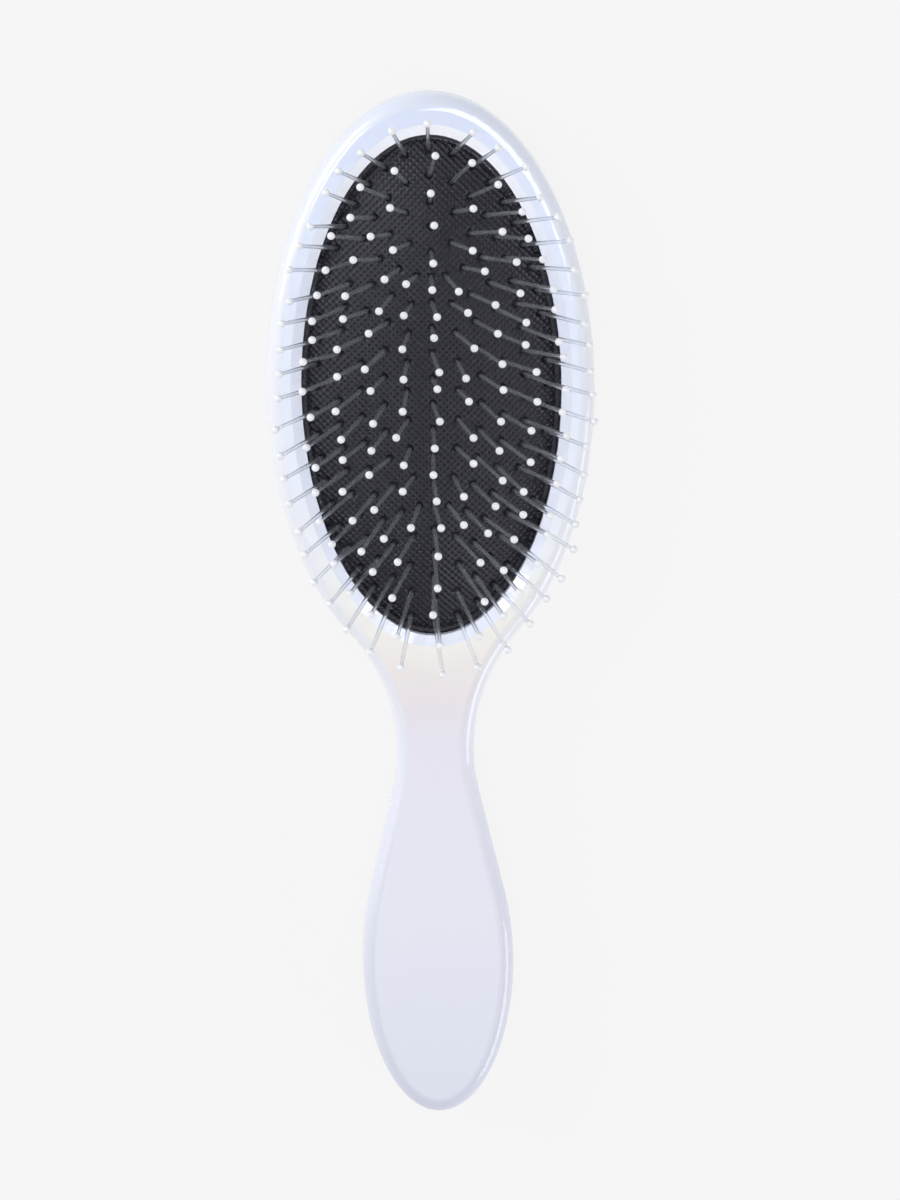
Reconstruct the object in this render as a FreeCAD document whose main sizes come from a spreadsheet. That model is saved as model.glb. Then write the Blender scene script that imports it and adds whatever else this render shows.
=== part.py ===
import FreeCAD, Part
import math
import os

import Sketcher
from FreeCAD import Placement, Rotation, Vector

# A detangling hair brush lying on its back, sizes in millimetres.
# The origin is the middle of the oval head on the surface it rests on.
# +Z is the side of the bristles, and the handle runs towards -Y.

SIZES = {
    # outline: oval head, waist of the neck beyond its end, oval handle beyond the waist
    "head_half_width": 35.0,
    "head_half_length": 63.0,
    "neck_half_width": 8.2,
    "neck_gap": 17.0,
    "neck_radius": 37.0,
    "handle_half_width": 16.2,
    "handle_half_length": 33.5,
    "handle_gap": 12.5,
    # depths and edges of the two shells
    "back_depth": 7.6,
    "front_depth": 5.4,
    "wall": 2.2,
    "back_round": 7.0,
    "front_round": 3.2,
    "seam_round": 0.3,
    # rim round the cushion's opening, and the rib that carries the cushion
    "rim_width": 7.2,
    "rim_end_width": 8.6,
    "bevel_width": 2.3,
    "bevel_depth": 0.9,
    "rib_gap": 0.3,
    "rib_wall": 2.0,
    # hollow of the handle, from the waist on
    "hollow_gap": 8.0,
    # cushion
    "pad_clearance": 0.3,
    "pad_thickness": 2.4,
    "flange_width": 2.3,
    "dome_height": 7.5,
    "border_width": 1.2,
    # pegs that line the shells up
    "peg_radius": 1.2,
    "peg_clearance": 0.1,
    "peg_depth": 4.0,
    "peg_inset": 8.0,
    "boss_wall": 1.6,
    # rings and row of bristles
    "ring_margin": 2.0,
    "ring_end_pitch": 5.25,
    "inner_ring_half_width": 5.4,
    "row_gap": 5.3,
    "row_fan_radius": 400.0,
    # bristles and ball tips
    "bristle_length": 18.6,
    "root_radius": 0.5,
    "tip_radius": 0.38,
    "head_radius": 1.2,
    "head_thickness": 0.7,
    "hole_clearance": 0.1,
    "head_clearance": 0.15,
    "ball_radius": 0.85,
}
RING_NAMES = ("outer_ring", "second_ring", "third_ring", "fourth_ring", "inner_ring")
BRISTLES_PER_RING = (48, 42, 32, 26, 20)
BRISTLES_IN_ROW = 10
PEGS = 3
# Level lines of the dome, as shares of the way in from its edge.
DOME_SHARES = (0.0, 0.2, 0.4, 0.6, 0.8, 0.93)

# Places along the brush and heights over its back.
WAIST = "(Sizes.head_half_length + Sizes.neck_gap)"
GRIP = f"({WAIST} + Sizes.handle_gap + Sizes.handle_half_length)"
SEAM = "Sizes.back_depth"
LIP = f"({SEAM} + Sizes.pad_thickness)"
FRONT = f"({SEAM} + Sizes.front_depth)"
# Half sizes of the ovals: head, handle, opening, and edge of the dome in its flat border.
HEAD = ("Sizes.head_half_width", "Sizes.head_half_length")
HANDLE = ("Sizes.handle_half_width", "Sizes.handle_half_length")
OPENING = (f"({HEAD[0]} - Sizes.rim_width)", f"({HEAD[1]} - Sizes.rim_end_width)")
EDGE = tuple(f"({half} - Sizes.border_width)" for half in OPENING)
# The rings divide the dome evenly across, and are set apart by their own pitch along it.
RING_STEPS = len(RING_NAMES) - 1
RING_PITCH = f"(({EDGE[0]} - Sizes.ring_margin - Sizes.inner_ring_half_width) / {RING_STEPS})"
STRETCH = f"(Sizes.ring_end_pitch / {RING_PITCH})"
# Rounded edges keep within their shell's depth, the narrow neck and the handle's round end, and
# the back's edge is no rounder than lets its wall cover the hollow's corner.
SPARE = "2 * Sizes.seam_round"
WALL_COVER = "3.2 * Sizes.wall"
NARROW = "(Sizes.neck_half_width - Sizes.wall)"
END_ROUND = f"({HANDLE[0]}^2 / {HANDLE[1]})"
INNER_END = f"(({HANDLE[0]} - Sizes.wall)^2 / ({HANDLE[1]} - Sizes.wall))"
BACK_LIMITS = f"Sizes.back_depth - {SPARE}; Sizes.neck_half_width - {SPARE}; {END_ROUND} - {SPARE}"
BACK_ROUND = f"min(Sizes.back_round; {WALL_COVER}; {BACK_LIMITS})"
FRONT_ROUND = f"min(Sizes.front_round; Sizes.front_depth - {SPARE})"
INNER_ROUND = f"min({BACK_ROUND} - Sizes.wall; {NARROW} - {SPARE}; {INNER_END} - {SPARE})"

doc = FreeCAD.newDocument("detangling_brush")
sheet = doc.addObject("Spreadsheet::Sheet", "Sizes")
for row, (alias, value) in enumerate(SIZES.items(), start=1):
    sheet.set(f"A{row}", alias)
    sheet.set(f"B{row}", str(value))
    sheet.setAlias(f"B{row}", alias)
doc.recompute()


def value_of(expression):
    """The present value of an expression of the sheet's sizes."""
    return float(sheet.evalExpression(expression))


def values_of(expressions):
    return [value_of(expression) for expression in expressions]


def offset(oval, by):
    """Half sizes of an oval that is larger or smaller all round by a signed expression."""
    return tuple(f"{half} {by}" for half in oval)


def new_body(name):
    body = doc.addObject("PartDesign::Body", name)
    body.Label = name
    return body


def new_sketch(body, name, height=None):
    """An empty level sketch, lifted by an expression."""
    sketch = body.newObject("Sketcher::SketchObject", name)
    plane = next(f for f in body.Origin.OriginFeatures if f.Role == "XY_Plane")
    sketch.AttachmentSupport = [(plane, "")]
    sketch.MapMode = "FlatFace"
    if height:
        sketch.setExpression(".AttachmentOffset.Base.z", height)
    return sketch


def constrain(sketch, kind, *places, by=None):
    """Add a constraint, a dimension being bound to an expression of the sheet."""
    values = [value_of(by)] if by else []
    index = sketch.addConstraint(Sketcher.Constraint(kind, *places, *values))
    if by:
        sketch.setExpression(f"Constraints[{index}]", by)


def ellipse_axes(sketch, curve, half_sizes, centre=None):
    """Constrain an upright ellipse, or an arc of one, by its half sizes and its centre's drop."""
    major = sketch.GeometryCount
    sketch.exposeInternalGeometry(curve)
    half_width, half_length = half_sizes
    constrain(sketch, "Vertical", major)
    constrain(sketch, "Distance", major, by=f"2 * ({half_length})")
    constrain(sketch, "Distance", major + 1, by=f"2 * ({half_width})")
    if centre:
        constrain(sketch, "PointOnObject", curve, 3, -2)
        constrain(sketch, "DistanceY", curve, 3, -1, 1, by=centre)
    else:
        constrain(sketch, "Coincident", curve, 3, -1, 1)


def oval_sketch(body, name, ovals, height=None):
    """One or more ovals round the middle of the head, each given by its half sizes."""
    sketch = new_sketch(body, name, height)
    for half_sizes in ovals:
        across, along = values_of(half_sizes)
        oval = Part.Ellipse(Vector(0, -along, 0), Vector(across, 0, 0), Vector(0, 0, 0))
        ellipse_axes(sketch, sketch.addGeometry(oval, False), half_sizes)
    return sketch


def head_contact(half_width, half_length, waist):
    """Where a round that stands upright at the waist touches the head's oval, and its hub."""
    low, high = 0.0, math.pi / 2
    for _ in range(60):
        angle = (low + high) / 2
        point = Vector(half_width * math.cos(angle), -half_length * math.sin(angle), 0)
        out = Vector(math.cos(angle) / half_width, -math.sin(angle) / half_length, 0)
        out.normalize()
        radius = (waist.y - point.y) / out.y
        if point.x + radius * (out.x - 1) > waist.x:
            low = angle
        else:
            high = angle
    return point, waist + Vector(radius, 0, 0)


def handle_tangent(half_width, half_length, centre, hub, radius):
    """Ends of the line that touches the handle's oval and a round about a hub above it.

    The radius is negative for a round on the inner side of the line.
    """

    def touch(angle):
        ratio = math.tan(angle) * half_length / half_width
        share = ratio / math.hypot(1, ratio)
        on_oval = Vector(half_width * math.sqrt(1 - share**2), centre + share * half_length, 0)
        across = Vector(math.cos(angle), math.sin(angle), 0)
        on_round = hub - across * radius
        return (on_oval - on_round).dot(across), on_oval, on_round

    # the least angle at which the two come into line is the smooth side
    step = math.radians(0.5)
    high = 2 * step
    while touch(high)[0] > 0 and high < math.radians(80):
        high += step
    low = high - step
    for _ in range(50):
        angle = (low + high) / 2
        if touch(angle)[0] > 0:
            low = angle
        else:
            high = angle
    _, on_oval, on_round = touch(low)
    return on_oval, on_round


def mirrored(point):
    return Vector(-point.x, point.y, point.z)


def oval_arc(half_width, half_length, centre, start, end):
    middle = Vector(0, centre, 0)
    top = middle + Vector(0, half_length, 0)
    oval = Part.Ellipse(top, middle - Vector(half_width, 0, 0), middle)
    return Part.ArcOfEllipse(oval, oval.parameter(start), oval.parameter(end))


def round_arc(hub, start, end):
    """The shorter arc about a hub."""
    middle = (start - hub) + (end - hub)
    middle.normalize()
    return Part.Arc(start, hub + middle * (start - hub).Length, end)


def outline_sketch(body, name, height=None):
    """Brush outline: an oval head and an oval handle joined by waisted sides."""
    sketch = new_sketch(body, name, height)
    head, handle = values_of(HEAD), values_of(HANDLE)
    middle, radius = -value_of(GRIP), value_of("Sizes.neck_radius")
    waist = Vector(value_of("Sizes.neck_half_width"), -value_of(WAIST), 0)
    on_head, upper_hub = head_contact(*head, waist)
    lower_hub = waist + Vector(radius, 0, 0)
    on_handle, arc_foot = handle_tangent(*handle, middle, lower_hub, radius)

    top = sketch.addGeometry(oval_arc(*head, 0, on_head, mirrored(on_head)))
    ellipse_axes(sketch, top, HEAD)
    foot = sketch.addGeometry(oval_arc(*handle, middle, mirrored(on_handle), on_handle))
    ellipse_axes(sketch, foot, HANDLE, GRIP)
    for right in (True, False):
        first, last = (1, 2) if right else (2, 1)
        points = (on_head, upper_hub, waist, lower_hub, arc_foot, on_handle)
        a, b, c, d, e, f = points if right else [mirrored(p) for p in points]
        upper = sketch.addGeometry(round_arc(b, a, c) if right else round_arc(b, c, a))
        lower = sketch.addGeometry(round_arc(d, c, e) if right else round_arc(d, e, c))
        side = sketch.addGeometry(Part.LineSegment(e, f))
        constrain(sketch, "Tangent", top, first, upper, first)
        constrain(sketch, "Tangent", upper, last, lower, first)
        constrain(sketch, "Tangent", lower, last, side, 1)
        constrain(sketch, "Tangent", side, 2, foot, last)
        constrain(sketch, "Radius", lower, by="Sizes.neck_radius")
        ends = (-1, 1, lower, 3) if right else (lower, 3, -1, 1)
        constrain(sketch, "DistanceX", *ends, by="Sizes.neck_half_width + Sizes.neck_radius")
        constrain(sketch, "DistanceY", lower, 3, -1, 1, by=WAIST)
        constrain(sketch, "DistanceY", upper, last, -1, 1, by=WAIST)
    return sketch


def hollow_sketch(body, name, height):
    """Inside of the handle: an oval end whose straight sides close in to a round at the neck."""
    sketch = new_sketch(body, name, height)
    inside = offset(HANDLE, "- Sizes.wall")
    drop = f"{WAIST} + Sizes.hollow_gap + {NARROW}"
    handle, middle = values_of(inside), -value_of(GRIP)
    hub, radius = Vector(0, -value_of(drop), 0), value_of(NARROW)
    on_handle, on_round = handle_tangent(*handle, middle, hub, -radius)
    foot = sketch.addGeometry(oval_arc(*handle, middle, mirrored(on_handle), on_handle))
    ellipse_axes(sketch, foot, inside, GRIP)
    crown = Part.Arc(on_round, hub + Vector(0, radius, 0), mirrored(on_round))
    end = sketch.addGeometry(crown)
    constrain(sketch, "PointOnObject", end, 3, -2)
    constrain(sketch, "Radius", end, by=NARROW)
    constrain(sketch, "DistanceY", end, 3, -1, 1, by=drop)
    for right in (True, False):
        points = (on_round, on_handle)
        side = Part.LineSegment(*(points if right else [mirrored(p) for p in points]))
        line = sketch.addGeometry(side)
        constrain(sketch, "Tangent", end, 1 if right else 2, line, 1)
        constrain(sketch, "Tangent", line, 2, foot, 2 if right else 1)
    return sketch


def peg_sketch(body, name, radius, height):
    """One round for each peg, spread along the hollow's middle line."""
    sketch = new_sketch(body, name, height)
    first = f"({WAIST} + Sizes.hollow_gap + Sizes.peg_inset)"
    last = f"({GRIP} + Sizes.handle_half_length - Sizes.wall - Sizes.peg_inset)"
    for number in range(PEGS):
        place = f"{first} + {number} * ({last} - {first}) / {PEGS - 1}"
        middle = Vector(0, -value_of(place), 0)
        circle = Part.Circle(middle, Vector(0, 0, 1), value_of(radius))
        curve = sketch.addGeometry(circle, False)
        constrain(sketch, "PointOnObject", curve, 3, -2)
        constrain(sketch, "DistanceY", curve, 3, -1, 1, by=place)
        constrain(sketch, "Radius", curve, by=radius)
    return sketch


def pad_up(body, sketch, name, length):
    pad = body.newObject("PartDesign::Pad", name)
    pad.Profile = sketch
    pad.setExpression("Length", length)
    return pad


def pocket(body, sketch, name, length, upwards=False):
    """Cut a sketch down, or up, into the body by a length."""
    cut = body.newObject("PartDesign::Pocket", name)
    cut.Profile = sketch
    cut.Reversed = upwards
    cut.setExpression("Length", length)
    return cut


def samples(edge, count=9):
    """Points spread along an edge."""
    first, last = edge.ParameterRange
    return [edge.valueAt(first + (last - first) * i / (count - 1)) for i in range(count)]


def edges_where(shape, test):
    """Names of the edges whose sampled points all pass a test."""
    found = [(i, e) for i, e in enumerate(shape.Edges, start=1) if not e.Degenerated]
    return [f"Edge{index}" for index, edge in found if all(map(test, samples(edge)))]


def dress(body, kind, name, test, **sizes):
    """A fillet or chamfer on the edges of the body, as it stands, that pass a test."""
    doc.recompute()
    base = body.Tip
    feature = body.newObject(f"PartDesign::{kind}", name)
    feature.Base = (base, edges_where(base.Shape, test))
    for prop, expression in sizes.items():
        feature.setExpression(prop, expression)
    doc.recompute()
    return feature


def level_with(height, slack=0.01):
    """A test of points at a height."""
    wanted = value_of(height)
    return lambda point: abs(point.z - wanted) < slack


def on_lip(point, slack=0.01):
    """Whether a point is on the upper edge of the cushion's opening."""
    across, along = values_of(OPENING)
    on_oval = abs(math.hypot(point.x / across, point.y / along) - 1) < slack
    return on_oval and level_with(FRONT)(point)


def build_back_shell():
    """Rear half: a dish with a flat back, a large rounded edge and a rib under the pad."""
    body = new_body("back_shell")
    depth = f"{SEAM} - Sizes.wall"
    pad_up(body, outline_sketch(body, "back_outline"), "back_blank", SEAM)
    dress(body, "Fillet", "back_edge", level_with("0"), Radius=BACK_ROUND)
    dress(body, "Fillet", "back_seam_edge", level_with(SEAM), Radius="Sizes.seam_round")
    chamber = oval_sketch(body, "chamber_oval", [offset(HEAD, "- Sizes.wall")], SEAM)
    pocket(body, chamber, "chamber", depth)
    pocket(body, hollow_sketch(body, "back_hollow_outline", SEAM), "back_hollow", depth)
    dress(body, "Fillet", "hollow_edge", level_with("Sizes.wall"), Radius=INNER_ROUND)
    foot, rise = "Sizes.wall / 2", f"{SEAM} - Sizes.wall / 2"
    inner = offset(OPENING, "+ Sizes.rib_gap")
    rib = oval_sketch(body, "rib_ovals", [inner, offset(inner, "+ Sizes.rib_wall")], foot)
    pad_up(body, rib, "pad_rib", rise)
    bore = "Sizes.peg_radius + Sizes.peg_clearance"
    bosses = peg_sketch(body, "boss_rounds", f"{bore} + Sizes.boss_wall", foot)
    pad_up(body, bosses, "peg_bosses", rise)
    sockets = peg_sketch(body, "socket_rounds", bore, SEAM)
    pocket(body, sockets, "peg_sockets", "Sizes.peg_depth + Sizes.peg_clearance")
    return body


def build_front_shell():
    """Front half: oval rim with a bevelled lip, neck and handle front."""
    body = new_body("front_shell")
    pad_up(body, outline_sketch(body, "front_outline", SEAM), "front_blank", "Sizes.front_depth")
    dress(body, "Fillet", "front_edge", level_with(FRONT), Radius=FRONT_ROUND)
    dress(body, "Fillet", "front_seam_edge", level_with(SEAM), Radius="Sizes.seam_round")
    hole = oval_sketch(body, "opening_oval", [OPENING], SEAM)
    pocket(body, hole, "opening", FRONT, upwards=True)
    lip = {"Size": "Sizes.bevel_width", "Size2": "Sizes.bevel_depth"}
    bevel = dress(body, "Chamfer", "lip_bevel", on_lip, **lip)
    bevel.ChamferType = "Two distances"
    seat = offset(OPENING, "+ Sizes.flange_width + Sizes.pad_clearance")
    recess = oval_sketch(body, "flange_seat_oval", [seat], SEAM)
    pocket(body, recess, "flange_seat", "Sizes.pad_thickness", upwards=True)
    depth = "Sizes.front_depth - Sizes.wall"
    hollow = hollow_sketch(body, "front_hollow_outline", SEAM)
    pocket(body, hollow, "front_hollow", depth, upwards=True)
    pegs = peg_sketch(body, "peg_rounds", "Sizes.peg_radius", f"{SEAM} - Sizes.peg_depth")
    pad_up(body, pegs, "pegs", f"Sizes.peg_depth + {depth} + Sizes.wall / 2")
    return body


def dome_rise(share):
    """Height of the dome, as a share of its top, at a share of the way in from its edge."""
    return 1 - (1 - share) ** 2


def dome_loft(body, kind, name, below):
    """The dome's form through its level lines, let down by an expression."""
    levels = []
    for number, share in enumerate(DOME_SHARES):
        inset = f"{share} * {EDGE[0]}"
        oval = (f"{EDGE[0]} - {inset}", f"{EDGE[1]} - {STRETCH} * {inset}")
        height = f"{LIP} + {dome_rise(share)} * Sizes.dome_height - {below}"
        levels.append(oval_sketch(body, f"{name}_level_{number}", [oval], height))
    loft = body.newObject(f"PartDesign::{kind}", name)
    loft.Profile = levels[0]
    loft.Sections = levels[1:]
    loft.Ruled = False
    return loft


def build_cushion():
    """Domed rubber sheet with a flat border and a flange that the shells clamp."""
    body = new_body("cushion_blank")
    rim = oval_sketch(body, "flange_oval", [offset(OPENING, "+ Sizes.flange_width")], SEAM)
    pad_up(body, rim, "flange", "Sizes.pad_thickness")
    dome_loft(body, "AdditiveLoft", "dome", "0")
    dome_loft(body, "SubtractiveLoft", "underside", "Sizes.pad_thickness")
    return body


def ring_oval(ring):
    """Half sizes of a ring of bristles and how far it is in from the dome's edge."""
    inset = value_of("Sizes.ring_margin") + ring * value_of(RING_PITCH)
    across, along = values_of(EDGE)
    return across - inset, along - value_of(STRETCH) * inset, inset


def even_spots(half_width, half_length, count, steps=1440):
    """Points evenly spaced round an oval, the first at its top."""
    turns = [2 * math.pi * i / steps for i in range(steps + 1)]
    points = [Vector(half_width * math.sin(t), half_length * math.cos(t), 0) for t in turns]
    travel = [0.0]
    for before, after in zip(points, points[1:]):
        travel.append(travel[-1] + (after - before).Length)
    spots, at = [], 0
    for number in range(count):
        wanted = travel[-1] * number / count
        while travel[at + 1] < wanted:
            at += 1
        share = (wanted - travel[at]) / (travel[at + 1] - travel[at])
        spots.append(points[at] + (points[at + 1] - points[at]) * share)
    return spots


def ring_roots(ring):
    """Placements of a ring's bristles, evenly spaced round its oval and square to the dome."""
    half_width, half_length, inset = ring_oval(ring)
    edge, rise = value_of(EDGE[0]), value_of("Sizes.dome_height")
    height = value_of(LIP) + rise * dome_rise(inset / edge)
    slope = 2 * rise / edge * (1 - inset / edge)
    stretch = value_of(STRETCH)
    places = []
    for spot in even_spots(half_width, half_length, BRISTLES_PER_RING[ring]):
        outward = Vector(spot.x / half_width**2, spot.y / half_length**2, 0)
        spread = spot.x**2 / half_width**3 + stretch * spot.y**2 / half_length**3
        normal = outward * (slope / spread) + Vector(0, 0, 1)
        root = spot + Vector(0, 0, height)
        places.append(Placement(root, Rotation(Vector(0, 0, 1), normal)))
    return places


def row_roots():
    """Placements of the centre row's bristles along the top of the dome, fanned a little."""
    height = value_of(f"{LIP} + Sizes.dome_height")
    reach = ring_oval(RING_STEPS)[1] - value_of("Sizes.row_gap")
    pitch = 2 * reach / (BRISTLES_IN_ROW - 1)
    places = []
    for number in range(BRISTLES_IN_ROW):
        spot = Vector(0, reach - pitch * number, height)
        lean = Vector(0, spot.y, value_of("Sizes.row_fan_radius"))
        places.append(Placement(spot, Rotation(Vector(0, 0, 1), lean)))
    return places


def primitive(kind, name, base=None, **sizes):
    """A round solid on the Z axis, its foot at a height and its sizes bound to expressions."""
    feature = doc.addObject(kind, name)
    for prop, expression in sizes.items():
        feature.setExpression(prop, expression)
    feature.setExpression(".Placement.Base.z", base)
    return feature


def build_pin():
    """One bristle, its root at the origin: a tapered pin with a flat head behind the pad."""
    behind = "(Sizes.pad_thickness + Sizes.head_clearance + Sizes.head_thickness)"
    length = f"Sizes.bristle_length + {behind}"
    ends = {"Radius1": "Sizes.root_radius", "Radius2": "Sizes.tip_radius", "Height": length}
    shaft = primitive("Part::Cone", "pin_shaft", f"-{behind}", **ends)
    disc = {"Radius": "Sizes.head_radius", "Height": "Sizes.head_thickness"}
    head = primitive("Part::Cylinder", "pin_head", f"-{behind}", **disc)
    pin = doc.addObject("Part::Fuse", "pin")
    pin.Base = shaft
    pin.Tool = head
    bore = {"Radius": "Sizes.root_radius + Sizes.hole_clearance", "Height": f"2 * {behind}"}
    hole = primitive("Part::Cylinder", "pin_hole", f"-{behind}", **bore)
    # the bead is cut flat where it sits on the end of the pin
    cut = "-acos(Sizes.tip_radius / Sizes.ball_radius)"
    lift = "Sizes.bristle_length + sqrt(Sizes.ball_radius^2 - Sizes.tip_radius^2)"
    bead = primitive("Part::Sphere", "bead", lift, Radius="Sizes.ball_radius", Angle1=cut)
    doc.recompute()
    return pin, hole, bead


def group(label, source, places):
    """A set of copies of one solid, each at its own placement."""
    solids = []
    for place in places:
        solid = source.Shape.Solids[0].copy()
        solid.Placement = place.multiply(solid.Placement)
        solids.append(solid)
    feature = doc.addObject("Part::Feature", label)
    feature.Label = label
    feature.Shape = Part.Compound(solids)
    return feature


nodes = [build_back_shell(), build_front_shell()]
blank = build_cushion()
pin, hole, bead = build_pin()
fields = {name: ring_roots(ring) for ring, name in enumerate(RING_NAMES)}
fields["centre_row"] = row_roots()
drill = group("pin_holes", hole, [place for places in fields.values() for place in places])
pad = doc.addObject("Part::Cut", "cushion_pad")
pad.Label = "cushion_pad"
pad.Base = blank
pad.Tool = drill
nodes.append(pad)
for name, places in fields.items():
    nodes.append(group(f"bristles_{name}", pin, places))
for name, places in fields.items():
    nodes.append(group(f"ball_tips_{name}", bead, places))
doc.recompute()

for item in doc.Objects:
    if "Invalid" in item.State or "Error" in item.State:
        raise RuntimeError(f"{item.Label}: {item.State}")
os.makedirs("parts", exist_ok=True)
for node in nodes:
    shape = node.Shape
    if shape.isNull() or not shape.isValid() or not shape.Solids:
        raise RuntimeError(f"{node.Label} has no valid solid")
    shape.exportStep(f"parts/{node.Label}.step")
    print(f"{node.Label}: {len(shape.Solids)} solids, {shape.Volume:.1f} mm3")
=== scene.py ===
import math
import random

import bpy
import bmesh
import numpy as np
from mathutils import Matrix, Vector
from mathutils.kdtree import KDTree


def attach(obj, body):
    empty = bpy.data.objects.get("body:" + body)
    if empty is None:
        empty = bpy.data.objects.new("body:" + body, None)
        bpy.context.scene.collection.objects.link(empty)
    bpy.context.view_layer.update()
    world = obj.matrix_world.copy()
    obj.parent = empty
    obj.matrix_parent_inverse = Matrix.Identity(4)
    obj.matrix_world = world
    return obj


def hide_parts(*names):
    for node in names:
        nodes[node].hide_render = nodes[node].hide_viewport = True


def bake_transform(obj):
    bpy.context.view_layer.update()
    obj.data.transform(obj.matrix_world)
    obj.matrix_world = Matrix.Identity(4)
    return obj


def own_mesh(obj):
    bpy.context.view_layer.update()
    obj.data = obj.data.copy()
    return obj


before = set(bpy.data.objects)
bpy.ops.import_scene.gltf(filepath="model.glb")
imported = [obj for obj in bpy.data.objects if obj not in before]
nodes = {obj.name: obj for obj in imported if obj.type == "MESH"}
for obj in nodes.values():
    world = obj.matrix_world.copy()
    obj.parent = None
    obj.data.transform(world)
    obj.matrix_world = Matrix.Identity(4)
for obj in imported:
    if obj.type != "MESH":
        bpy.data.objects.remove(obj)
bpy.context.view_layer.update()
MM = 0.001

# Sizes of the brush in millimetres, the same as those of the solids. Pairs are half width and half length.
EDGE = (26.6, 53.2)
OPENING = (27.8, 54.4)
BEVEL = 2.3
LIP = 10.0
RISE = 7.5
# The bristles' rings, from the dome's edge inwards, and the row in the middle.
RING_MARGIN = 2.0
RING_PITCH = 4.8
STRETCH = 5.25 / 4.8
RINGS = {"outer_ring": 48, "second_ring": 42, "third_ring": 32, "fourth_ring": 26, "inner_ring": 20}
ROW_COUNT = 10
ROW_GAP = 5.3
ROW_FAN = 400.0
# One bristle: a tapered pin with a flat head behind the pad. It starts to taper at the pad's face.
BRISTLE_LENGTH = 18.6
PIN_RADIUS = 0.5
PIN_TIP_RADIUS = 0.38
PIN_FOOT = 0.4
PIN_CROWN = ((PIN_TIP_RADIUS, 0.06), (0, 0.1))
PIN_STEPS = 12
PIN_SIDES = 12
HEAD_RADIUS = 1.2
HEAD_FRONT = 2.55
HEAD_BACK = 3.25
# The bead: radius, and height above the pin's end.
BEAD_SIDES = 16
BEAD_PROFILE = (
    (0, -0.22),
    (0.41, -0.20),
    (0.50, -0.02),
    (0.68, 0.22),
    (0.81, 0.52),
    (0.84, 0.80),
    (0.77, 1.11),
    (0.60, 1.38),
    (0.33, 1.55),
    (0, 1.61),
)
# The lean of its own that use gives a bristle, in degrees.
SWAY = 1.9
SWAY_LIMIT = 3.2
SWAY_SEED = 11
# The pad's knurl: crossed ridges, their half widths at the top and at the foot, and the cells between them.
KNURL_PITCH = 1.05
KNURL_HEIGHT = 0.16
RIDGE_TOP = 0.10
RIDGE_FOOT = 0.24
CROSSING_LIFT = 0.4
CELL_DEPTH = 0.6
CELL_START = 0.45
# Where the knurl starts: from the dome's edge, and from the middle of a bristle.
EDGE_FADE = 0.5
ROOT_CLEAR = 0.6
ROOT_FADE = 0.4
# The hollow that each bristle stands in, its faces painted dark as painted shade.
MOUTH_RADIUS = 0.78
MOUTH_DEPTH = 0.35
# The pad's smooth border: steps out from the dome's edge, and their heights above the lip.
BORDER = ((0.5, 0.16), (1.0, 0.12), (1.6, -0.15))
WELD = 0.01
# Lengthwise places of the pearl's tints, of the crescent of painted shade where the handle's end rolls
# over, and of the painted light on the lip.
TINT_REACH = (-160.0, 63.0)
HANDLE_CENTRE = -126.5
CRESCENT = (13.8, 29.5)
CRESCENT_FADE = (-24.0, -12.0)
LIP_LIGHT_FADE = (20.0, 55.0)


def linear(*rgb):
    """Scene-linear colour of an 8-bit screen colour."""
    out = []
    for value in rgb:
        c = value / 255
        out.append(c / 12.92 if c <= 0.04045 else ((c + 0.055) / 1.055) ** 2.4)
    return (*out, 1.0)


# Materials

# Pearl tints along the brush, from the handle's end to the top of the head.
FACE_TINTS = (
    (0.00, (217, 220, 233)),
    (0.16, (226, 229, 239)),
    (0.30, (229, 229, 238)),
    (0.37, (228, 226, 236)),
    (0.41, (231, 224, 226)),
    (0.44, (233, 227, 222)),
    (0.47, (234, 231, 223)),
    (0.53, (231, 233, 230)),
    (0.62, (228, 232, 243)),
    (0.84, (218, 227, 243)),
    (1.00, (211, 222, 246)),
)
# Painted light on the rounded edges along the brush: a painted sheen, paler than the faces round the head,
# and a painted shade, darker towards the handle's end.
ROUND_PAINTED_LIGHT = (
    (0.00, (214, 217, 230)),
    (0.15, (215, 218, 230)),
    (0.28, (224, 228, 239)),
    (0.40, (231, 234, 243)),
    (0.55, (230, 233, 241)),
    (0.75, (234, 235, 238)),
    (1.00, (226, 232, 245)),
)
CLOUD_TINT = linear(214, 214, 244)
CLOUD_SHARE = 0.10
# A darker crescent at the handle's end, painted shade where the face rolls over.
CRESCENT_PAINTED_SHADE = linear(212, 215, 230)
CRESCENT_SHADE_SHARE = 0.85
# The lip's tint, painted paler towards the top of the head as painted light.
LIP_TINT = linear(221, 225, 239)
LIP_TOP_PAINTED_LIGHT = linear(249, 250, 255)
# A surface is a round where its normal's upright part falls below the second number, fully at the first,
# and gets painted light there.
ROUND_NORMALS = (0.95, 0.99)
ROUND_LIGHT_SHARE = 0.8
# How much rougher the rubber is in the cells than on the ridges.
CELL_ROUGHNESS = 0.3


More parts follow.
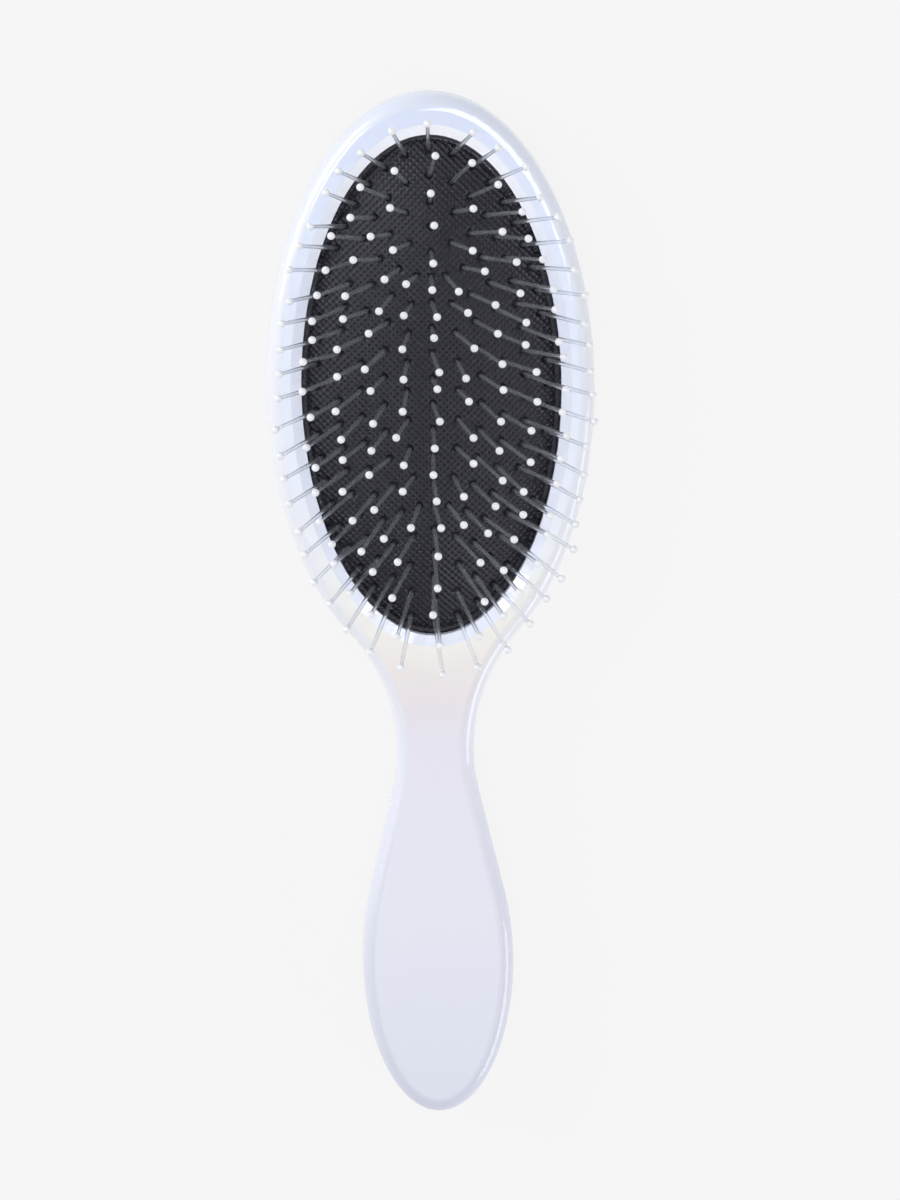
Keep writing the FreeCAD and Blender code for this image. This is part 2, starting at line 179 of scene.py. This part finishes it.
class Nodes:
    """A material's node tree with short calls to add and join nodes."""

    def __init__(self, name):
        self.material = bpy.data.materials.new(name)
        self.material.use_nodes = True
        self.tree = self.material.node_tree
        self.tree.nodes.clear()

    def add(self, kind, **settings):
        node = self.tree.nodes.new(kind)
        for key, value in settings.items():
            setattr(node, key, value)
        return node

    def join(self, source, target):
        self.tree.links.new(source, target)

    def feed(self, value, socket):
        """Join a socket to another, or set it to a plain value."""
        if hasattr(value, "is_output"):
            self.join(value, socket)
        else:
            socket.default_value = value

    def shader(self, **inputs):
        """A Principled shader on the output, its uniform numbers set on its sockets."""
        node = self.add("ShaderNodeBsdfPrincipled")
        for key, value in inputs.items():
            node.inputs[key.replace("_", " ")].default_value = value
        out = self.add("ShaderNodeOutputMaterial")
        self.join(node.outputs[0], out.inputs[0])
        return node

    def place(self):
        """The point's place in the object."""
        return self.add("ShaderNodeTexCoord").outputs["Object"]

    def parts(self, vector):
        """A vector's X, Y and Z."""
        node = self.add("ShaderNodeSeparateXYZ")
        self.join(vector, node.inputs[0])
        return tuple(node.outputs)

    def noise(self, scale, detail):
        node = self.add("ShaderNodeTexNoise")
        node.inputs["Scale"].default_value = scale
        node.inputs["Detail"].default_value = detail
        self.join(self.place(), node.inputs["Vector"])
        return node.outputs["Fac"]

    def math(self, operation, *values):
        """One calculation on sockets and plain numbers."""
        node = self.add("ShaderNodeMath", operation=operation)
        for socket, value in zip(node.inputs, values):
            self.feed(value, socket)
        return node.outputs[0]

    def oval(self, x, y, half_width, half_length):
        """Below 1 inside an oval and above 1 outside it."""
        across = self.math("DIVIDE", x, half_width * MM)
        along = self.math("DIVIDE", y, half_length * MM)
        return self.math("ADD", self.math("MULTIPLY", across, across), self.math("MULTIPLY", along, along))

    def spread(self, source, low, high, start=0.0, end=1.0):
        """Map a value from one range to another."""
        node = self.add("ShaderNodeMapRange")
        for name, value in (("From Min", start), ("From Max", end), ("To Min", low), ("To Max", high)):
            node.inputs[name].default_value = value
        self.join(source, node.inputs["Value"])
        return node.outputs["Result"]

    def ramp(self, source, stops):
        """A run of 8-bit screen colours along a value from 0 to 1."""
        node = self.add("ShaderNodeValToRGB")
        marks = node.color_ramp.elements
        while len(marks) < len(stops):
            marks.new(0.5)
        for mark, (place, colour) in zip(marks, stops):
            mark.position = place
            mark.color = linear(*colour)
        self.join(source, node.inputs["Fac"])
        return node.outputs["Color"]

    def mix(self, factor, a, b):
        """One colour turning into another as a factor goes from 0 to 1."""
        node = self.add("ShaderNodeMix", data_type="RGBA")
        sockets = (node.inputs["Factor"], node.inputs[6], node.inputs[7])
        for socket, value in zip(sockets, (factor, a, b)):
            self.feed(value, socket)
        return node.outputs[2]

    def bump(self, source, target, strength, distance):
        node = self.add("ShaderNodeBump")
        node.inputs["Strength"].default_value = strength
        node.inputs["Distance"].default_value = distance
        self.join(source, node.inputs["Height"])
        self.join(node.outputs["Normal"], target)


def pearl_plastic():
    """Glossy pearl plastic whose tint drifts along the brush, with painted light on its rounded edges and
    its lip, and painted shade in a crescent at the handle's end.
    """
    mat = Nodes("pearl_plastic")
    shader = mat.shader(Coat_Weight=1.0, Coat_Roughness=0.035, IOR=1.5)
    x, y, _ = mat.parts(mat.place())
    start, end = TINT_REACH
    station = mat.spread(y, 0.0, 1.0, start * MM, end * MM)
    cloud = mat.spread(mat.noise(26.0, 2.0), 0.0, CLOUD_SHARE)
    colour = mat.mix(cloud, mat.ramp(station, FACE_TINTS), CLOUD_TINT)

    # the rounded edges are painted by how they turn: a painted sheen, paler than the faces round the head,
    # and a painted shade, darker towards the handle's end
    normal = mat.parts(mat.add("ShaderNodeTexCoord").outputs["Normal"])
    upright = mat.math("ABSOLUTE", normal[2])
    round_painted_light = mat.spread(upright, ROUND_LIGHT_SHARE, 0.0, *ROUND_NORMALS)
    colour = mat.mix(round_painted_light, colour, mat.ramp(station, ROUND_PAINTED_LIGHT))

    # painted shade: a darker crescent at the handle's end, where the face starts to roll over
    below = mat.math("SUBTRACT", y, HANDLE_CENTRE * MM)
    out = mat.oval(x, mat.math("MINIMUM", below, 0.0), *CRESCENT)
    crescent_shade = mat.spread(out, 0.0, CRESCENT_SHADE_SHARE, 1.0, 1.05)
    start, end = CRESCENT_FADE
    low = mat.spread(below, 1.0, 0.0, start * MM, end * MM)
    colour = mat.mix(mat.math("MULTIPLY", crescent_shade, low), colour, CRESCENT_PAINTED_SHADE)

    # the bevelled lip of the opening, with painted light that makes it palest at the top of the head
    start, end = LIP_LIGHT_FADE
    lip = mat.mix(mat.spread(y, 0.0, 1.0, start * MM, end * MM), LIP_TINT, LIP_TOP_PAINTED_LIGHT)
    out = mat.oval(x, y, OPENING[0] + BEVEL, OPENING[1] + BEVEL)
    colour = mat.mix(mat.math("LESS_THAN", out, 1.0), colour, lip)

    mat.join(colour, shader.inputs["Base Color"])
    mat.join(mat.spread(mat.noise(5200.0, 1.0), 0.34, 0.50), shader.inputs["Roughness"])
    mat.bump(mat.noise(900.0, 2.0), shader.inputs["Normal"], 0.02, 0.0002)
    return mat.material


def black_rubber():
    """Black rubber, polished on the ridges of its knurl and matt in the cells between them, its ridges
    painted lighter as a painted highlight and its cells darker as painted shade.
    """
    mat = Nodes("black_rubber")
    shader = mat.shader(IOR=1.5, Specular_IOR_Level=0.37, Specular_Tint=(0.86, 0.87, 1.0, 1.0))
    x, y, _ = mat.parts(mat.place())
    lines = []
    for side in ("ADD", "SUBTRACT"):
        turned = mat.math("MULTIPLY", mat.math(side, x, y), math.sqrt(0.5))
        away = mat.math("PINGPONG", turned, KNURL_PITCH * MM / 2)
        lines.append(mat.spread(away, 1.0, 0.0, RIDGE_TOP * MM, RIDGE_FOOT * MM))
    ridge_polish_and_painted_light = mat.math("MAXIMUM", *lines)
    # painted light: the ridges get a lighter, randomly varied tone as painted highlight, the cells a near
    # black as painted shade
    ridge_tone_and_highlight = mat.ramp(mat.noise(180.0, 4.0), ((0.30, (8, 8, 12)), (0.70, (17, 17, 24))))
    mat.join(mat.mix(ridge_polish_and_painted_light, linear(4, 4, 7), ridge_tone_and_highlight), shader.inputs["Base Color"])
    worn = mat.spread(mat.noise(2600.0, 2.0), 0.08, 0.16)
    rough = mat.math("MULTIPLY_ADD", ridge_polish_and_painted_light, -CELL_ROUGHNESS, worn)
    mat.join(mat.math("ADD", rough, CELL_ROUGHNESS), shader.inputs["Roughness"])
    mat.bump(mat.noise(7000.0, 2.0), shader.inputs["Normal"], 0.12, 0.00005)
    return mat.material


def painted_root_shade():
    """Painted shade: a near black for the mouth of the hollow that a bristle stands in."""
    mat = Nodes("painted_root_shade")
    shader = mat.shader(Roughness=0.9, Specular_IOR_Level=0.1)
    tone = mat.ramp(mat.noise(900.0, 2.0), ((0.3, (4, 4, 5)), (0.7, (9, 9, 11))))
    mat.join(tone, shader.inputs["Base Color"])
    return mat.material


def clear_nylon():
    """Clear nylon with a cool tint."""
    mat = Nodes("clear_nylon")
    shader = mat.shader(IOR=1.26, Transmission_Weight=0.965, Coat_Weight=0.3, Coat_Roughness=0.05)
    tone = mat.ramp(mat.noise(420.0, 3.0), ((0.35, (244, 248, 254)), (0.65, (250, 252, 255))))
    mat.join(tone, shader.inputs["Base Color"])
    mat.join(mat.spread(mat.noise(1500.0, 2.0), 0.16, 0.24), shader.inputs["Roughness"])
    return mat.material


def white_bead():
    """Glossy white ball tips."""
    mat = Nodes("white_bead")
    shader = mat.shader(IOR=1.5, Coat_Weight=0.5, Coat_Roughness=0.1)
    tone = mat.ramp(mat.noise(300.0, 2.0), ((0.3, (232, 234, 238)), (0.7, (240, 241, 244))))
    mat.join(tone, shader.inputs["Base Color"])
    mat.join(mat.spread(mat.noise(2200.0, 2.0), 0.24, 0.36), shader.inputs["Roughness"])
    return mat.material


# Forms


def new_object(name, verts, faces, *materials):
    """A smooth mesh object from points in millimetres."""
    mesh = bpy.data.meshes.new(name)
    mesh.from_pydata((np.asarray(verts) * MM).tolist(), [], faces)
    mesh.validate()
    for material in materials:
        mesh.materials.append(material)
    mesh.shade_smooth()
    obj = bpy.data.objects.new(name, mesh)
    bpy.context.scene.collection.objects.link(obj)
    return obj


def inset_at(x, y, halvings=40):
    """How far in from the dome's edge each point lies."""
    low = np.zeros_like(x)
    high = np.full_like(x, EDGE[0])
    for _ in range(halvings):
        mid = (low + high) / 2
        across = x / np.maximum(EDGE[0] - mid, 1e-9)
        along = y / (EDGE[1] - STRETCH * mid)
        outside = across**2 + along**2 > 1
        high = np.where(outside, mid, high)
        low = np.where(outside, low, mid)
    return low


def dome(inset):
    """The dome's height at a distance in from its edge."""
    return LIP + RISE * (1 - (1 - inset / EDGE[0]) ** 2)


def even_spots(half_width, half_length, count, steps=1440):
    """Points evenly spaced round an oval, the first at its top."""
    turn = np.linspace(0, 2 * math.pi, steps + 1)
    path = np.stack([half_width * np.sin(turn), half_length * np.cos(turn)], 1)
    travel = np.r_[0, np.cumsum(np.linalg.norm(np.diff(path, axis=0), axis=1))]
    wanted = travel[-1] * np.arange(count) / count
    return [(np.interp(w, travel, path[:, 0]), np.interp(w, travel, path[:, 1])) for w in wanted]


def bristle_field():
    """Root and direction of each bristle, by ring."""
    field = {}
    for number, (ring, count) in enumerate(RINGS.items()):
        inset = RING_MARGIN + number * RING_PITCH
        a, b = EDGE[0] - inset, EDGE[1] - STRETCH * inset
        height = dome(inset)
        slope = 2 * RISE / EDGE[0] * (1 - inset / EDGE[0])
        pins = []
        for x, y in even_spots(a, b, count):
            spread = x**2 / a**3 + STRETCH * y**2 / b**3
            lean = Vector((x / a**2, y / b**2, 0)) * (slope / spread) + Vector((0, 0, 1))
            pins.append((Vector((x, y, height)), lean.normalized()))
        field[ring] = pins
    inner_inset = RING_MARGIN + (len(RINGS) - 1) * RING_PITCH
    reach = EDGE[1] - STRETCH * inner_inset - ROW_GAP
    row = []
    for number in range(ROW_COUNT):
        y = reach * (1 - 2 * number / (ROW_COUNT - 1))
        row.append((Vector((0, y, LIP + RISE)), Vector((0, y, ROW_FAN)).normalized()))
    field["centre_row"] = row
    return field


def swayed(pins, chance):
    """The same bristles, each with the slight lean of its own that use gives it."""
    out = []
    for root, lean in pins:
        sway = [max(-SWAY_LIMIT, min(SWAY_LIMIT, chance.gauss(0, SWAY))) for _ in range(2)]
        tip = lean + Vector((math.radians(sway[0]), math.radians(sway[1]), 0))
        out.append((root, tip.normalized()))
    return out


def revolve(profile, sides):
    """Points and faces of a turned form about Z, closed where the radius is zero."""
    verts, faces, rows = [], [], []
    for radius, height in profile:
        if radius == 0:
            rows.append([len(verts)] * sides)
            verts.append((0, 0, height))
        else:
            rows.append(list(range(len(verts), len(verts) + sides)))
            for side in range(sides):
                turn = 2 * math.pi * side / sides
                verts.append((radius * math.cos(turn), radius * math.sin(turn), height))
    for lower, upper in zip(rows, rows[1:]):
        for side in range(sides):
            after = (side + 1) % sides
            face = [lower[side], lower[after], upper[after], upper[side]]
            faces.append(list(dict.fromkeys(face)))
    return np.array(verts), faces


def pin_form():
    """A pin on its head, with a small crown on its end inside the bead."""
    head = [(0, -HEAD_BACK), (HEAD_RADIUS, -HEAD_BACK), (HEAD_RADIUS, -HEAD_FRONT)]
    shaft = [(PIN_RADIUS, -HEAD_FRONT), (PIN_RADIUS, -PIN_FOOT)]
    taper = PIN_RADIUS - PIN_TIP_RADIUS
    for step in range(PIN_STEPS + 1):
        shaft.append((PIN_RADIUS - taper * step / PIN_STEPS, BRISTLE_LENGTH * step / PIN_STEPS))
    crown = [(radius, BRISTLE_LENGTH + height) for radius, height in PIN_CROWN]
    return revolve(head + shaft + crown, PIN_SIDES)


def bead_form():
    """A drop-shaped bead over the end of a pin."""
    return revolve([(radius, BRISTLE_LENGTH + height) for radius, height in BEAD_PROFILE], BEAD_SIDES)


def copies(form, pins):
    """One turned form set on each bristle's place."""
    points, faces = form
    all_points, all_faces = [], []
    for number, (root, lean) in enumerate(pins):
        turn = np.array(Vector((0, 0, 1)).rotation_difference(lean).to_matrix())
        all_points.append(points @ turn.T + np.array(root))
        start = number * len(points)
        all_faces += [[start + i for i in face] for face in faces]
    return np.concatenate(all_points), all_faces


def ridge(distance):
    """Height of a ridge line, 1 on its flat top and 0 at its foot."""
    return np.clip((RIDGE_FOOT - distance) / (RIDGE_FOOT - RIDGE_TOP), 0, 1)


def knurl(x, y):
    """Height of the diamond knurl: crossed ridges round hollow cells."""
    lines = []
    for offset in ((x + y) / math.sqrt(2), (x - y) / math.sqrt(2)):
        lines.append(np.abs((offset / KNURL_PITCH + 0.5) % 1 - 0.5) * KNURL_PITCH)
    ridges = np.maximum(ridge(lines[0]), ridge(lines[1]))
    ridges = ridges + CROSSING_LIFT * ridge(lines[0]) * ridge(lines[1])
    middle = np.minimum(lines[0], lines[1]) / (KNURL_PITCH / 2)
    hollow = np.clip(middle - CELL_START, 0, 1) / (1 - CELL_START)
    return KNURL_HEIGHT * (ridges - CELL_DEPTH * hollow)


def knurled_dome(roots):
    """Points and faces of the dome, its mesh laid along the knurl's ridges."""
    reach = math.sqrt((EDGE[0] ** 2 + EDGE[1] ** 2) / 2) + 2 * KNURL_PITCH
    cells = math.ceil(reach / KNURL_PITCH)
    steps = (-RIDGE_TOP, RIDGE_TOP, RIDGE_FOOT, KNURL_PITCH / 2, KNURL_PITCH - RIDGE_FOOT)
    lines = [cell * KNURL_PITCH + step for cell in range(-cells, cells + 1) for step in steps]
    u, v = np.meshgrid(lines, lines, indexing="ij")
    x, y = (u + v) / math.sqrt(2), (u - v) / math.sqrt(2)
    out = np.hypot(x / EDGE[0], y / EDGE[1])
    inside = out < 1
    x, y = x / np.maximum(out, 1), y / np.maximum(out, 1)
    inset = inset_at(x.ravel(), y.ravel()).reshape(x.shape)
    near = np.full(x.shape, np.inf)
    for root in roots:
        near = np.minimum(near, np.hypot(x - root.x, y - root.y))
    fade = np.clip(inset / EDGE_FADE, 0, 1) * np.clip((near - ROOT_CLEAR) / ROOT_FADE, 0, 1)
    z = dome(inset) + knurl(x, y) * fade - MOUTH_DEPTH * np.exp(-((near / MOUTH_RADIUS) ** 2))

    index = np.arange(x.size).reshape(x.shape)
    corners = (index[:-1, :-1], index[:-1, 1:], index[1:, 1:], index[1:, :-1])
    keep = inside[:-1, :-1] | inside[:-1, 1:] | inside[1:, 1:] | inside[1:, :-1]
    quads = np.stack([c[keep] for c in corners], 1)
    used, quads = np.unique(quads, return_inverse=True)
    points = np.stack([x.ravel(), y.ravel(), z.ravel()], 1)[used]
    return points, quads.reshape(-1, 4).tolist()


def add_border(form):
    """The smooth border: a low roll round the dome that dips under the lip."""
    # made face by face, because the order of the faces is then the same in each run
    edge = [tuple(e.verts) for e in form.edges if e.is_boundary]
    for grow, height in BORDER:
        outer = {}
        for vert in (v for pair in edge for v in pair):
            if vert not in outer:
                turn = math.atan2(vert.co.y / EDGE[1], vert.co.x / EDGE[0])
                x = (EDGE[0] + grow) * math.cos(turn)
                y = (EDGE[1] + grow) * math.sin(turn)
                outer[vert] = form.verts.new((x * MM, y * MM, (LIP + height) * MM))
        for a, b in edge:
            form.faces.new((a, b, outer[b], outer[a]))
        edge = [(outer[a], outer[b]) for a, b in edge]


def paint_root_shade(form, roots):
    """Give the faces round each bristle's root the second material, the painted shade in its hollow."""
    tree = KDTree(len(roots))
    for number, root in enumerate(roots):
        tree.insert((root.x * MM, root.y * MM, 0), number)
    tree.balance()
    for face in form.faces:
        x, y, _ = face.calc_center_median()
        away = tree.find((x, y, 0))[2]
        face.material_index = int(away < MOUTH_RADIUS * MM)


def build_pad(field, rubber, root_shade):
    """The cushion's skin: a knurled dome in a smooth border, with a hollow round each bristle, its faces
    given painted shade.
    """
    roots = [root for pins in field.values() for root, _ in pins]
    pad = new_object("cushion_skin", *knurled_dome(roots), rubber, root_shade)
    form = bmesh.new()
    form.from_mesh(pad.data)
    bmesh.ops.remove_doubles(form, verts=form.verts, dist=WELD * MM)
    add_border(form)
    bmesh.ops.recalc_face_normals(form, faces=form.faces)
    paint_root_shade(form, roots)
    form.to_mesh(pad.data)
    form.free()
    pad.data.shade_smooth()
    return pad


PIN = pin_form()
DROP = bead_form()

pearl = pearl_plastic()
nylon = clear_nylon()
bead = white_bead()
for name in ("back_shell", "front_shell"):
    nodes[name].data.materials.clear()
    nodes[name].data.materials.append(pearl)

field = bristle_field()
chance = random.Random(SWAY_SEED)
# the second material is the painted shade round each bristle's root
pad = build_pad(field, black_rubber(), painted_root_shade())
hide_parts("cushion_pad")
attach(pad, "body")
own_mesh(pad)

for ring, pins in field.items():
    pins = swayed(pins, chance)
    shafts = new_object(f"pins_{ring}", *copies(PIN, pins), nylon)
    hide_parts(f"bristles_{ring}")
    shafts.visible_shadow = False
    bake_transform(shafts)
    drops = new_object(f"drops_{ring}", *copies(DROP, pins), bead)
    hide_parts(f"ball_tips_{ring}")
    drops.visible_shadow = False
    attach(drops, f"{ring}_tips")


# Floor, light and camera, in metres

FLOOR_HALF = 3.0
FLOOR_HEIGHT = -0.0004
# How much of the floor's plain pale tone covers its shadows.
FLOOR_PLAIN_SHARE = 0.88
LIGHT_AIM = Vector((0, -0.04, 0))
SENSOR_HEIGHT = 36


def build_floor():
    """A pale floor that looks plain to the camera and in reflections, and keeps a soft shadow."""
    mesh = bpy.data.meshes.new("floor")
    sides = ((-1, -1), (1, -1), (1, 1), (-1, 1))
    corners = [(x * FLOOR_HALF, y * FLOOR_HALF, FLOOR_HEIGHT) for x, y in sides]
    mesh.from_pydata(corners, [], [(0, 1, 2, 3)])
    floor = bpy.data.objects.new("floor", mesh)
    bpy.context.scene.collection.objects.link(floor)
    mat = Nodes("pale_floor")
    matt = mat.add("ShaderNodeBsdfDiffuse")
    matt.inputs["Color"].default_value = linear(240, 240, 242)
    flat = mat.add("ShaderNodeEmission")
    flat.inputs["Color"].default_value = linear(248, 248, 248)
    path = mat.add("ShaderNodeLightPath").outputs
    seen = mat.math("MAXIMUM", path["Is Camera Ray"], path["Is Transmission Ray"])
    seen = mat.math("MAXIMUM", seen, path["Is Glossy Ray"])
    choose = mat.add("ShaderNodeMixShader")
    out = mat.add("ShaderNodeOutputMaterial")
    mat.join(mat.math("MULTIPLY", seen, FLOOR_PLAIN_SHARE), choose.inputs[0])
    mat.join(matt.outputs[0], choose.inputs[1])
    mat.join(flat.outputs[0], choose.inputs[2])
    mat.join(choose.outputs[0], out.inputs[0])
    mesh.materials.append(mat.material)


def soft_light(name, place, size, power, along=(0, 1, 0), gloss_only=False):
    """A soft box that faces the brush, its second side laid along a direction."""
    data = bpy.data.lights.new(name, "AREA")
    data.shape = "RECTANGLE"
    data.size, data.size_y = size
    data.energy = power
    light = bpy.data.objects.new(name, data)
    back = (Vector(place) - LIGHT_AIM).normalized()
    across = Vector(along).cross(back).normalized()
    axes = Matrix((across, back.cross(across), back)).transposed().to_4x4()
    light.matrix_world = Matrix.Translation(Vector(place)) @ axes
    light.visible_diffuse = not gloss_only
    bpy.context.scene.collection.objects.link(light)


def build_world(colour, strength):
    """Even light from all round."""
    world = bpy.data.worlds.new("studio")
    bpy.context.scene.world = world
    world.use_nodes = True
    sky = world.node_tree.nodes["Background"]
    sky.inputs["Color"].default_value = colour
    sky.inputs["Strength"].default_value = strength


def build_camera(target, distance, tilt, turn, roll, lens):
    """A camera over the brush, its image up along +Y, leaning by small angles."""
    tilt, turn, roll = (math.radians(a) for a in (tilt, turn, roll))
    back = Vector((math.sin(turn) * math.cos(tilt), math.sin(tilt), math.cos(tilt) * math.cos(turn)))
    back.normalize()
    right = Vector((0, 1, 0)).cross(back).normalized()
    up = back.cross(right)
    axes = Matrix((right, up, back)).transposed().to_4x4() @ Matrix.Rotation(roll, 4, "Z")
    data = bpy.data.cameras.new("camera")
    data.sensor_fit = "VERTICAL"
    data.sensor_height = SENSOR_HEIGHT
    data.lens = lens
    camera = bpy.data.objects.new("camera", data)
    camera.matrix_world = Matrix.Translation(Vector(target) + back * distance) @ axes
    bpy.context.scene.collection.objects.link(camera)
    bpy.context.scene.camera = camera


build_floor()
soft_light("overhead", (-0.10, -0.25, 1.20), (0.8, 1.2), 2.0)
soft_light("upper_right", (0.36, 0.22, 1.05), (0.62, 0.48), 5.6, (0.81, -0.59, 0), gloss_only=True)
soft_light("left_gloss", (-0.80, 0.45, 0.45), (0.9, 1.3), 1.8, gloss_only=True)
soft_light("upper_left", (-0.52, 0.30, 0.85), (0.10, 0.42), 1.9, gloss_only=True)
soft_light("left_side", (-0.85, 0.42, 0.35), (0.5, 0.9), 4.6)
soft_light("right_side", (0.80, -0.50, 0.32), (0.4, 0.6), 2.2)
build_world(colour=(0.97, 0.97, 1.0, 1.0), strength=0.67)
build_camera(
    target=(0.00355, -0.04757, 0.008),
    distance=3.089,
    tilt=11.61,
    turn=-2.18,
    roll=-0.70,
    lens=432.3,
)
bpy.context.scene.view_settings.view_transform = "Standard"
